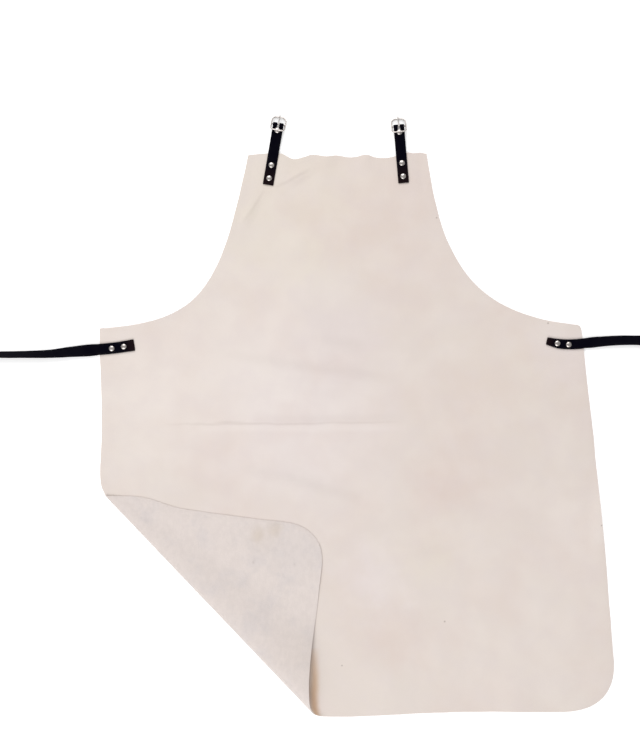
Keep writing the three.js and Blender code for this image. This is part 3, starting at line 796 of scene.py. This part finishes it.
class Wiring:
    """Adds nodes to a tree and links them by socket."""

    def __init__(self, tree):
        self.tree = tree

    def add(self, kind, inputs=None, **settings):
        node = self.tree.nodes.new(kind)
        for key, value in settings.items():
            setattr(node, key, value)
        for key, value in (inputs or {}).items():
            self.feed(node.inputs[key], value)
        return node

    def feed(self, socket, value):
        if isinstance(value, bpy.types.NodeSocket):
            self.tree.links.new(value, socket)
        else:
            socket.default_value = value

    def calc(self, operation, a, b=0.0, c=0.0):
        return self.add("ShaderNodeMath", {0: a, 1: b, 2: c}, operation=operation).outputs[0]

    def vector(self, operation, a, b=(0, 0, 0)):
        return self.add("ShaderNodeVectorMath", {0: a, 1: b}, operation=operation)

    def mix(self, share, a, b, blend="MIX"):
        node = self.add("ShaderNodeMix", data_type="RGBA", blend_type=blend)
        for index, value in ((0, share), (6, a), (7, b)):
            self.feed(node.inputs[index], value)
        return node.outputs[2]

    def toned(self, colour, tone):
        """A colour made lighter or darker by a factor."""
        grey = self.add("ShaderNodeCombineColor", {0: tone, 1: tone, 2: tone}).outputs[0]
        return self.mix(1.0, colour, grey, "MULTIPLY")

    def scaled(self, vector, factor):
        return self.add("ShaderNodeVectorMath", {0: vector, "Scale": factor}, operation="SCALE").outputs[0]

    def stray(self, vector, *noise_settings):
        """A noise vector about zero."""
        colour = self.noise(vector, *noise_settings).outputs["Color"]
        return self.vector("SUBTRACT", colour, (0.5, 0.5, 0.5)).outputs[0]

    def ramp(self, value, low, high, to_low=0.0, to_high=1.0):
        inputs = {"Value": value, "From Min": low, "From Max": high, "To Min": to_low, "To Max": to_high}
        return self.add("ShaderNodeMapRange", inputs, interpolation_type="SMOOTHSTEP").outputs[0]

    def noise(self, vector, scale, detail=3.0, roughness=0.5):
        inputs = {"Vector": vector, "Scale": scale, "Detail": detail, "Roughness": roughness}
        return self.add("ShaderNodeTexNoise", inputs)

    def bump(self, shader, height, strength, distance):
        inputs = {"Strength": strength, "Distance": distance, "Height": height}
        self.feed(shader.inputs["Normal"], self.add("ShaderNodeBump", inputs).outputs[0])

    def group(self, tree, **inputs):
        node = self.add("ShaderNodeGroup", node_tree=tree)
        for key, value in inputs.items():
            self.feed(node.inputs[key], value)
        return node.outputs


def new_group(name, inputs, outputs):
    """An empty shader node group with named sockets, and the wiring of its two ends."""
    tree = bpy.data.node_groups.new(name, "ShaderNodeTree")
    kinds = {"vector": "NodeSocketVector", "value": "NodeSocketFloat"}
    for socket, kind in inputs:
        tree.interface.new_socket(socket, in_out="INPUT", socket_type=kinds[kind])
    for socket in outputs:
        tree.interface.new_socket(socket, in_out="OUTPUT", socket_type=kinds["value"])
    wiring = Wiring(tree)
    start = wiring.add("NodeGroupInput").outputs
    end = wiring.add("NodeGroupOutput").inputs
    return tree, wiring, start, end


def soft_patch_group():
    """A blot with a ragged soft edge."""
    name = "soft_patch"
    if name in bpy.data.node_groups:
        return bpy.data.node_groups[name]
    inputs = [("Vector", "vector"), ("Centre", "vector"), ("Radius", "value"), ("Ragged", "value")]
    tree, w, start, end = new_group(name, inputs, ["Mask"])
    ragged = w.scaled(w.stray(start["Vector"], 22.0, 4.0, 0.6), start["Ragged"])
    moved = w.vector("ADD", start["Vector"], ragged).outputs[0]
    away = w.vector("DISTANCE", moved, start["Centre"]).outputs["Value"]
    share = w.calc("DIVIDE", away, start["Radius"])
    w.feed(end["Mask"], w.ramp(share, 0.0, 1.0, 1.0, 0.0))
    return tree


def painted_line_group():
    """A soft line mask between two places, fading at its ends: painted shade, a painted highlight and bump
    grooves.
    """
    name = "crease_line"
    if name in bpy.data.node_groups:
        return bpy.data.node_groups[name]
    inputs = [("Vector", "vector"), ("Start", "vector"), ("End", "vector"), ("Width", "value")]
    tree, w, start, end = new_group(name, inputs, ["Mask"])
    slight = w.scaled(w.stray(start["Vector"], 26.0, 2.0), 0.006)
    place = w.vector("ADD", start["Vector"], slight).outputs[0]
    out = w.vector("SUBTRACT", place, start["Start"]).outputs[0]
    run = w.vector("SUBTRACT", start["End"], start["Start"]).outputs[0]
    along = w.vector("DOT_PRODUCT", out, run).outputs["Value"]
    whole = w.vector("DOT_PRODUCT", run, run).outputs["Value"]
    share = w.add("ShaderNodeClamp", {"Value": w.calc("DIVIDE", along, whole)}).outputs[0]
    away = w.vector("DISTANCE", out, w.scaled(run, share)).outputs["Value"]
    line = w.ramp(w.calc("DIVIDE", away, start["Width"]), 0.0, 1.0, 1.0, 0.0)
    fade = w.calc("MULTIPLY", w.calc("MULTIPLY", share, w.calc("SUBTRACT", 1.0, share)), 4.0)
    w.feed(end["Mask"], w.calc("MULTIPLY", line, w.calc("POWER", fade, 0.5)))
    return tree


def leather_grain_group():
    """Pebbles and fibres of leather: a height for bump and a tone for colour, both about one half."""
    name = "leather_grain"
    if name in bpy.data.node_groups:
        return bpy.data.node_groups[name]
    inputs = [("Vector", "vector"), ("Scale", "value"), ("Pebble", "value")]
    tree, w, start, end = new_group(name, inputs, ["Height", "Tone"])
    fibre = w.noise(start["Vector"], start["Scale"], 5.0, 0.65).outputs[0]
    cells = w.add(
        "ShaderNodeTexVoronoi",
        {"Vector": start["Vector"], "Scale": start["Scale"], "Smoothness": 0.5},
        feature="SMOOTH_F1",
    ).outputs["Distance"]
    pebble = w.calc("MULTIPLY", w.calc("SUBTRACT", 0.55, cells), start["Pebble"])
    w.feed(end["Height"], w.calc("ADD", fibre, pebble))
    coarser = w.calc("MULTIPLY", start["Scale"], 0.8)
    w.feed(end["Tone"], w.noise(start["Vector"], coarser, 4.0, 0.7).outputs[0])
    return tree


def new_material(name):
    """A material with its Principled shader wired to the output, and its wiring."""
    material = bpy.data.materials.new(name)
    material.use_nodes = True
    tree = material.node_tree
    tree.nodes.clear()
    wiring = Wiring(tree)
    shader = wiring.add("ShaderNodeBsdfPrincipled")
    output = wiring.add("ShaderNodeOutputMaterial")
    tree.links.new(shader.outputs[0], output.inputs[0])
    return material, wiring, shader


def rgba(colour):
    return (*colour, 1.0)


Tint = namedtuple("Tint", "x y radius kind share")
TINTS = (
    Tint(-60, 745, 190, "straw", 0.6),
    Tint(80, 750, 170, "ruddy", 0.45),
    # This pale blot and the one at x -290 are painted light: they lighten the hide's left side, as light
    # falling from the left would. The other blots are the hide's own clouds.
    Tint(-95, 520, 240, "pale", 0.6),
    Tint(-60, 420, 220, "lilac", 0.5),
    Tint(0, 560, 120, "dusk", 0.6),
    Tint(240, 505, 130, "straw", 0.25),
    Tint(340, 535, 75, "lilac", 0.45),
    Tint(190, 400, 250, "ruddy", 0.18),
    Tint(150, 335, 62, "ruddy", 0.5),
    Tint(385, 280, 120, "pale", 0.4),
    Tint(300, 130, 220, "pale", 0.2),
    Tint(140, 245, 62, "straw", 0.4),
    Tint(45, 200, 75, "lilac", 0.5),
    Tint(85, 120, 75, "ruddy", 0.45),
    # Painted light: this pale blot lightens the left side, as light from the left would.
    Tint(-290, 470, 180, "pale", 0.6),
)
PaintedLine = namedtuple("PaintedLine", "x0 y0 x1 y1 width share")
# Painted shade: darker lines and soft bands along the creases and folds, where shade falls; the same lines
# also press grooves into the bump.
PRESSED_AND_SHADED_LINES = (
    PaintedLine(-262, 434, 92, 438, 3.2, 0.16),
    PaintedLine(-190, 437, -140, 437, 4, 0.14),
    PaintedLine(-130, 442, 100, 444, 11, 0.06),
    PaintedLine(-145, 735, -112, 786, 4, 0.12),
    PaintedLine(-98, 790, -44, 816, 4.5, 0.15),
    PaintedLine(-150, 369, 35, 322, 14, 0.07),
    PaintedLine(-180, 540, 90, 500, 13, 0.07),
    PaintedLine(-30, 560, 40, 552, 16, 0.06),
)
# Painted highlight: a lighter band just below the old fold, standing in for light on the fold's lower slope.
PAINTED_HIGHLIGHT_BROW = PaintedLine(-215, 428.5, 100, 429.5, 9, 0.22)
# Painted shade: a warm brown darkening in the roll's opening, where the turned-over corner shades the hide.
OPENING_PAINTED_SHADE = PaintedLine(-40, 100, -36, -110, 11.5, 0.75)
# The colour of the painted shade along the creases.
CREASE_SHADE_COLOUR = (0.30, 0.25, 0.22)
SPECK_COLOUR, SPECK_SHARE = (0.22, 0.17, 0.14), 0.6
SCUFF_COLOUR, SCUFF_SHARE = (0.03, 0.026, 0.025), 0.4
Speck = namedtuple("Speck", "x y radius")
SPECKS = (
    Speck(157, 139, 2.2),
    Speck(3, 73, 2.0),
    Speck(312, 586, 2.4),
    Speck(145, 744, 2.0),
    Speck(392, 283, 2.0),
)
Mottle = namedtuple("Mottle", "scale share kind")
MOTTLES = (Mottle(9.0, 0.3, "ruddy"), Mottle(17.0, 0.2, "pale"), Mottle(31.0, 0.2, "dusk"))


def tint_colour(settings, kind):
    return rgba(getattr(settings, f"{kind}_tint"))


def pattern_place(w):
    """The place on the flat pattern, in metres, from the hide's own UV map."""
    uv = w.add("ShaderNodeUVMap", uv_map="flat_pattern").outputs[0]
    return w.vector("ADD", uv, UV_ORIGIN.to_3d()).outputs[0]


def blot_mask(w, place, centre, row, ragged):
    inputs = {"Vector": place, "Centre": centre, "Radius": row.radius * MM, "Ragged": ragged}
    return w.group(soft_patch_group(), **inputs)["Mask"]


def line_mask(w, place, row):
    start, end = ((x * MM, y * MM, 0) for x, y in ((row.x0, row.y0), (row.x1, row.y1)))
    inputs = {"Vector": place, "Start": start, "End": end, "Width": row.width * MM}
    return w.calc("MULTIPLY", w.group(painted_line_group(), **inputs)["Mask"], row.share)


def hide_material(settings):
    """The smooth face of a pale chrome-tanned hide."""
    material, w, shader = new_material("cream_hide")
    place = pattern_place(w)
    colour = rgba(settings.hide_colour)
    blush = w.ramp(w.noise(place, 6.5, 3.0, 0.55).outputs[0], 0.42, 0.68, 0.0, 0.5)
    colour = w.mix(blush, colour, rgba(settings.blush_colour))
    for row in TINTS:
        mask = blot_mask(w, place, (row.x * MM, row.y * MM, 0), row, ragged=0.12)
        colour = w.mix(w.calc("MULTIPLY", mask, row.share), colour, tint_colour(settings, row.kind))
    for row in MOTTLES:
        mottle = w.ramp(w.noise(place, row.scale, 3.0, 0.5).outputs[0], 0.4, 0.68, 0.0, row.share)
        colour = w.mix(mottle, colour, tint_colour(settings, row.kind))
    # Painted shade along the creases; the same mask cuts grooves in the bump further down.
    crease_shade_and_groove = line_mask(w, place, PRESSED_AND_SHADED_LINES[0])
    for row in PRESSED_AND_SHADED_LINES[1:]:
        crease_shade_and_groove = w.calc("MAXIMUM", crease_shade_and_groove, line_mask(w, place, row))
    colour = w.mix(crease_shade_and_groove, colour, rgba(CREASE_SHADE_COLOUR))
    # Painted highlight below the old fold.
    colour = w.mix(line_mask(w, place, PAINTED_HIGHLIGHT_BROW), colour, rgba(settings.painted_highlight_brow_colour))
    # Painted shade inside the roll's opening.
    colour = w.mix(line_mask(w, place, OPENING_PAINTED_SHADE), colour, rgba(settings.opening_painted_shade_colour))
    for row in SPECKS:
        mask = blot_mask(w, place, (row.x * MM, row.y * MM, 0), row, ragged=0.001)
        colour = w.mix(w.calc("MULTIPLY", mask, SPECK_SHARE), colour, rgba(SPECK_COLOUR))
    grain = w.group(leather_grain_group(), Vector=place, Scale=1500.0, Pebble=0.4)
    tone = w.ramp(grain["Tone"], 0.3, 0.7, 0.97, 1.03)
    w.feed(shader.inputs["Base Color"], w.toned(colour, tone))
    w.feed(shader.inputs["Roughness"], w.ramp(grain["Height"], 0.2, 0.9, 0.78, 0.94))
    shader.inputs["Specular IOR Level"].default_value = 0.25
    shader.inputs["Sheen Weight"].default_value = 0.12
    shader.inputs["Sheen Roughness"].default_value = 0.5
    # The creases' mask, which also paints shade into the colour above, cuts grooves here.
    height = w.calc("SUBTRACT", grain["Height"], w.calc("MULTIPLY", crease_shade_and_groove, 4.0))
    w.bump(shader, height, 0.6, 0.0004)
    return material


Smudge = namedtuple("Smudge", "x y radius colour share")
SMUDGES = (
    Smudge(-122, 268, 16, (0.47, 0.38, 0.27), 0.28),
    Smudge(-98, 279, 17, (0.48, 0.39, 0.29), 0.28),
    Smudge(-112, 262, 34, (0.53, 0.46, 0.41), 0.2),
    Smudge(-94, 246, 9, (0.42, 0.38, 0.37), 0.25),
    Smudge(-132, 231, 5, (0.36, 0.31, 0.28), 0.4),
    Smudge(-68, 224, 6, (0.40, 0.36, 0.34), 0.3),
    Smudge(-70, 238, 60, (0.57, 0.52, 0.51), 0.35),
    Smudge(-60, 90, 70, (0.59, 0.52, 0.48), 0.4),
)


def flesh_material(settings):
    """The napped back of the hide, greyer, with smudges where it has been handled."""
    material, w, shader = new_material("flesh_side")
    place = w.add("ShaderNodeTexCoord").outputs["Object"]
    colour = rgba(settings.flesh_colour)
    cloud = w.ramp(w.noise(place, 26.0, 5.0, 0.6).outputs[0], 0.45, 0.7, 0.0, 0.75)
    colour = w.mix(cloud, colour, rgba(settings.smudge_colour))
    flat = w.vector("MULTIPLY", place, (1, 1, 0)).outputs[0]
    for row in SMUDGES:
        mask = blot_mask(w, flat, in_row(row.x, row.y), row, ragged=0.03)
        colour = w.mix(w.calc("MULTIPLY", mask, row.share), colour, rgba(row.colour))
    grain = w.group(leather_grain_group(), Vector=place, Scale=900.0, Pebble=0.1)
    drawn = w.vector("MULTIPLY", place, (1.0, 0.6, 1.0)).outputs[0]
    streak = w.ramp(w.noise(drawn, 150.0, 5.0, 0.7).outputs[0], 0.3, 0.7)
    tone = w.ramp(w.calc("ADD", grain["Tone"], w.calc("MULTIPLY", streak, 0.4)), 0.4, 1.0, 0.965, 1.035)
    w.feed(shader.inputs["Base Color"], w.toned(colour, tone))
    w.feed(shader.inputs["Roughness"], w.ramp(grain["Height"], 0.2, 0.8, 0.86, 1.0))
    shader.inputs["Specular IOR Level"].default_value = 0.15
    shader.inputs["Sheen Weight"].default_value = 0.25
    shader.inputs["Sheen Roughness"].default_value = 0.6
    w.bump(shader, grain["Height"], 0.8, 0.0006)
    return material


def cut_edge_material(settings):
    """The fibrous cut edge of the hide."""
    material, w, shader = new_material("cut_edge")
    place = w.add("ShaderNodeTexCoord").outputs["Object"]
    grain = w.group(leather_grain_group(), Vector=place, Scale=1400.0, Pebble=0.2)
    colour = w.mix(grain["Tone"], rgba(settings.edge_colour), rgba(settings.flesh_colour))
    w.feed(shader.inputs["Base Color"], colour)
    w.feed(shader.inputs["Roughness"], w.ramp(grain["Height"], 0.2, 0.8, 0.85, 1.0))
    shader.inputs["Specular IOR Level"].default_value = 0.15
    w.bump(shader, grain["Height"], 0.6, 0.0004)
    return material


def strap_material(settings):
    """Smooth black strap leather with a fine grain and worn edges."""
    material, w, shader = new_material("black_strap_leather")
    place = w.add("ShaderNodeTexCoord").outputs["Object"]
    grain = w.group(leather_grain_group(), Vector=place, Scale=950.0, Pebble=1.0)
    rim = w.add("ShaderNodeAttribute", attribute_name="rim").outputs["Fac"]
    cloud = w.ramp(w.noise(place, 70.0, 3.0).outputs[0], 0.4, 0.75, 0.0, 0.6)
    colour = w.mix(cloud, rgba(settings.strap_colour), rgba(settings.strap_worn_colour))
    scuffed = w.calc("MULTIPLY", rim, w.ramp(w.noise(place, 260.0, 4.0, 0.7).outputs[0], 0.45, 0.7))
    colour = w.mix(w.calc("MULTIPLY", scuffed, SCUFF_SHARE), colour, rgba(SCUFF_COLOUR))
    end = w.add("ShaderNodeAttribute", attribute_name="faded_end").outputs["Fac"]
    colour = w.mix(w.calc("MULTIPLY", end, 0.6), colour, rgba(settings.strap_faded_colour))
    w.feed(shader.inputs["Base Color"], colour)
    rough = w.ramp(grain["Height"], 0.2, 1.0, 0.5, 0.66)
    w.feed(shader.inputs["Roughness"], w.calc("ADD", rough, w.calc("MULTIPLY", scuffed, 0.12)))
    shader.inputs["Specular IOR Level"].default_value = 0.028
    w.bump(shader, grain["Height"], 0.35, 0.0003)
    return material


def nickel_material(settings):
    """Bright nickel plate with fine scratches and a little tarnish."""
    material, w, shader = new_material("nickel_plate")
    place = w.add("ShaderNodeTexCoord").outputs["Object"]
    drawn = w.vector("MULTIPLY", place, (1.0, 0.12, 0.6)).outputs[0]
    scratch = w.ramp(w.noise(drawn, 4200.0, 2.0, 0.7).outputs[0], 0.52, 0.72)
    tarnish = w.ramp(w.noise(place, 420.0, 4.0, 0.6).outputs[0], 0.5, 0.8, 0.0, 0.5)
    colour = w.mix(tarnish, rgba(settings.nickel_colour), rgba(settings.tarnish_colour))
    w.feed(shader.inputs["Base Color"], colour)
    shader.inputs["Metallic"].default_value = 1.0
    rough = w.calc("ADD", w.calc("MULTIPLY", scratch, 0.12), w.calc("MULTIPLY", tarnish, 0.2))
    w.feed(shader.inputs["Roughness"], w.calc("ADD", rough, 0.26))
    w.bump(shader, scratch, 0.08, 0.0001)
    return material


def floor_material(settings):
    material, w, shader = new_material("pale_floor")
    place = w.add("ShaderNodeTexCoord").outputs["Object"]
    tone = w.ramp(w.noise(place, 3.0, 2.0).outputs[0], 0.3, 0.7)
    low = rgba([0.985 * c for c in settings.floor_colour])
    w.feed(shader.inputs["Base Color"], w.mix(tone, low, rgba(settings.floor_colour)))
    shader.inputs["Roughness"].default_value = 0.9
    shader.inputs["Specular IOR Level"].default_value = 0.1
    shader.inputs["Emission Color"].default_value = rgba(settings.floor_colour)
    shader.inputs["Emission Strength"].default_value = settings.floor_glow
    return material


# Settings


def colour_setting(name, description, default):
    return FloatVectorProperty(name=name, description=description, subtype="COLOR", default=default)


class ApronHideSettings(bpy.types.PropertyGroup):
    """The hide's mesh and colours."""

    cell: FloatProperty(
        name="Cell", description="Side of the hide's mesh cells", default=0.0048, min=0.002, unit="LENGTH"
    )
    roll_facets: IntProperty(
        name="Roll facets", description="Cells round the turned-over corner's roll", default=14, min=6
    )
    hide_colour: colour_setting("Hide", "Smooth face of the hide", (0.660, 0.590, 0.543))
    blush_colour: colour_setting("Blush", "Pinkish clouds in the hide", (0.645, 0.553, 0.514))
    straw_tint: colour_setting("Straw", "Yellowish clouds in the hide", (0.690, 0.630, 0.540))
    pale_tint: colour_setting("Pale", "Pale clouds in the hide", (0.740, 0.672, 0.630))
    lilac_tint: colour_setting("Lilac", "Cool clouds in the hide", (0.705, 0.635, 0.635))
    dusk_tint: colour_setting("Dusk", "Greyed clouds in the hide", (0.635, 0.562, 0.552))
    ruddy_tint: colour_setting("Ruddy", "Browner clouds in the hide", (0.625, 0.516, 0.470))
    flesh_colour: colour_setting("Flesh side", "Napped back of the hide", (0.645, 0.575, 0.543))
    smudge_colour: colour_setting("Smudges", "Handled parts of the back", (0.590, 0.535, 0.520))
    # The colour of the painted highlight below the old fold.
    painted_highlight_brow_colour: colour_setting("Brow", "Lit brow below the old fold", (0.80, 0.74, 0.71))
    # The colour of the painted shade inside the roll's opening.
    opening_painted_shade_colour: colour_setting("Browned", "Inside the roll's opening", (0.58, 0.36, 0.20))
    edge_colour: colour_setting("Cut edge", "Fibres of the cut edge", (0.64, 0.58, 0.54))


class ApronStrapSettings(bpy.types.PropertyGroup):
    """The straps' colours."""

    strap_colour: colour_setting("Strap", "Black strap leather", (0.0006, 0.0004, 0.0032))
    strap_worn_colour: colour_setting("Worn strap", "Rubbed strap leather", (0.0022, 0.0019, 0.0045))
    strap_faded_colour: colour_setting("Faded end", "Browned end of a strap", (0.014, 0.006, 0.006))


class ApronMetalSettings(bpy.types.PropertyGroup):
    """The rivets' and buckles' colours."""

    nickel_colour: colour_setting("Nickel", "Bright plate", (0.49, 0.455, 0.435))
    tarnish_colour: colour_setting("Tarnish", "Dulled plate", (0.31, 0.26, 0.21))


class ApronStageSettings(bpy.types.PropertyGroup):
    """The floor, the lights and the camera."""

    floor_colour: colour_setting("Floor", "Pale floor", (0.99, 0.99, 0.99))
    floor_glow: FloatProperty(
        name="Floor glow", description="The floor's own light, which pales shadows", default=0.25, min=0
    )
    near_power: FloatProperty(
        name="Near light", description="Softbox beyond the hem", default=66.5, min=0, unit="POWER"
    )
    far_power: FloatProperty(
        name="Far light", description="Softbox beyond the bib", default=78.0, min=0, unit="POWER"
    )
    sky: FloatProperty(name="Sky", description="Strength of the even light all round", default=0.46, min=0)
    lens: FloatProperty(
        name="Lens", description="Focal length of the camera", default=100.0, min=20, unit="CAMERA"
    )
    view_middle: FloatVectorProperty(
        name="View middle",
        description="Place on the pattern under the camera",
        size=2,
        subtype="XYZ_LENGTH",
        default=(-0.030, 0.50925),
    )
    view_height: FloatProperty(
        name="View height", description="Length of floor in the frame's height", default=1.1235, unit="LENGTH"
    )


# Operators


class APRON_OT_hide(bpy.types.Operator):
    """Cut the hide and lay it with its corner turned over"""

    bl_idname = "apron.hide"
    bl_label = "Hide"

    def execute(self, context):
        make_hide(context.scene.apron_hide)
        return {"FINISHED"}


class APRON_OT_straps(bpy.types.Operator):
    """Cut the neck tabs and the waist straps and lay them on the hide"""

    bl_idname = "apron.straps"
    bl_label = "Straps"

    def execute(self, context):
        material = strap_material(context.scene.apron_straps)
        for tab in TABS:
            make_neck_tab(tab, material)
        for side in WAIST_STRAPS:
            make_waist_strap(side, material)
        return {"FINISHED"}


class APRON_OT_hardware(bpy.types.Operator):
    """Set the rivets and hang the buckles"""

    bl_idname = "apron.hardware"
    bl_label = "Rivets and buckles"

    def execute(self, context):
        material = nickel_material(context.scene.apron_metal)
        for node in sorted(n for n in frame["nodes"] if n.startswith("rivet_")):
            make_rivet(node, material)
        for tab in TABS:
            make_buckle_frame(tab.side, material)
            make_buckle_prong(tab.side, material)
        return {"FINISHED"}


class APRON_OT_stage(bpy.types.Operator):
    """Put down the floor and set the lights and the camera"""

    bl_idname = "apron.stage"
    bl_label = "Stage"

    def execute(self, context):
        settings = context.scene.apron_stage
        self.floor(settings)
        middle = ORIGIN + Vector(settings.view_middle).to_3d()
        self.softbox("near_softbox", middle, (-0.75, -2.3, 2.3), 2.4, settings.near_power)
        self.softbox("far_softbox", middle, (-0.35, 2.5, 2.5), 2.6, settings.far_power)
        world = bpy.data.worlds.new("even_light")
        world.use_nodes = True
        background = world.node_tree.nodes["Background"]
        background.inputs["Color"].default_value = (1, 1, 1, 1)
        background.inputs["Strength"].default_value = settings.sky
        context.scene.world = world
        context.scene.view_settings.view_transform = "Standard"
        self.camera(context.scene, settings, middle)
        return {"FINISHED"}

    def floor(self, settings):
        bm = bmesh.new()
        half_side, below = 24.0, 0.0004
        bmesh.ops.create_grid(bm, x_segments=1, y_segments=1, size=half_side)
        bmesh.ops.translate(bm, vec=(0, 0, -below), verts=bm.verts)
        mesh = bpy.data.meshes.new("floor")
        bm.to_mesh(mesh)
        bm.free()
        mesh.materials.append(floor_material(settings))
        floor = bpy.data.objects.new("floor", mesh)
        bpy.context.scene.collection.objects.link(floor)

    def softbox(self, name, middle, offset, size, power):
        data = bpy.data.lights.new(name, "AREA")
        data.shape = "SQUARE"
        data.size = size
        data.energy = power
        light = bpy.data.objects.new(name, data)
        light.location = middle + Vector(offset)
        light.rotation_euler = Vector(offset).to_track_quat("Z", "Y").to_euler()
        bpy.context.scene.collection.objects.link(light)

    def camera(self, scene, settings, middle):
        data = bpy.data.cameras.new("camera_above")
        data.lens = settings.lens
        camera = bpy.data.objects.new("camera_above", data)
        distance = settings.view_height * data.lens / data.sensor_width
        camera.location = middle + Vector((0, 0, distance))
        scene.collection.objects.link(camera)
        scene.camera = camera


class APRON_PT_panel(bpy.types.Panel):
    """Lists the apron's pieces and their settings"""

    bl_label = "Leather apron"
    bl_idname = "APRON_PT_panel"
    bl_space_type = "VIEW_3D"
    bl_region_type = "UI"
    bl_category = "Apron"

    def draw(self, context):
        column = self.layout.column()
        for operator in OPERATORS:
            column.operator(operator.bl_idname)
        for group in SETTINGS:
            settings = getattr(context.scene, group)
            for name in settings.bl_rna.properties.keys():
                if name not in ("rna_type", "name"):
                    column.prop(settings, name)


SETTINGS = {
    "apron_hide": ApronHideSettings,
    "apron_straps": ApronStrapSettings,
    "apron_metal": ApronMetalSettings,
    "apron_stage": ApronStageSettings,
}
OPERATORS = (APRON_OT_hide, APRON_OT_straps, APRON_OT_hardware, APRON_OT_stage)
CLASSES = (*SETTINGS.values(), *OPERATORS, APRON_PT_panel)


def register():
    for cls in CLASSES:
        bpy.utils.register_class(cls)
    for name, group in SETTINGS.items():
        setattr(bpy.types.Scene, name, PointerProperty(type=group))


def unregister():
    for name in SETTINGS:
        delattr(bpy.types.Scene, name)
    for cls in reversed(CLASSES):
        bpy.utils.unregister_class(cls)


def main():
    register()
    bpy.ops.apron.stage()
    bpy.ops.apron.hide()
    bpy.ops.apron.straps()
    bpy.ops.apron.hardware()
    bpy.context.view_layer.update()


if __name__ == "__main__":
    main()
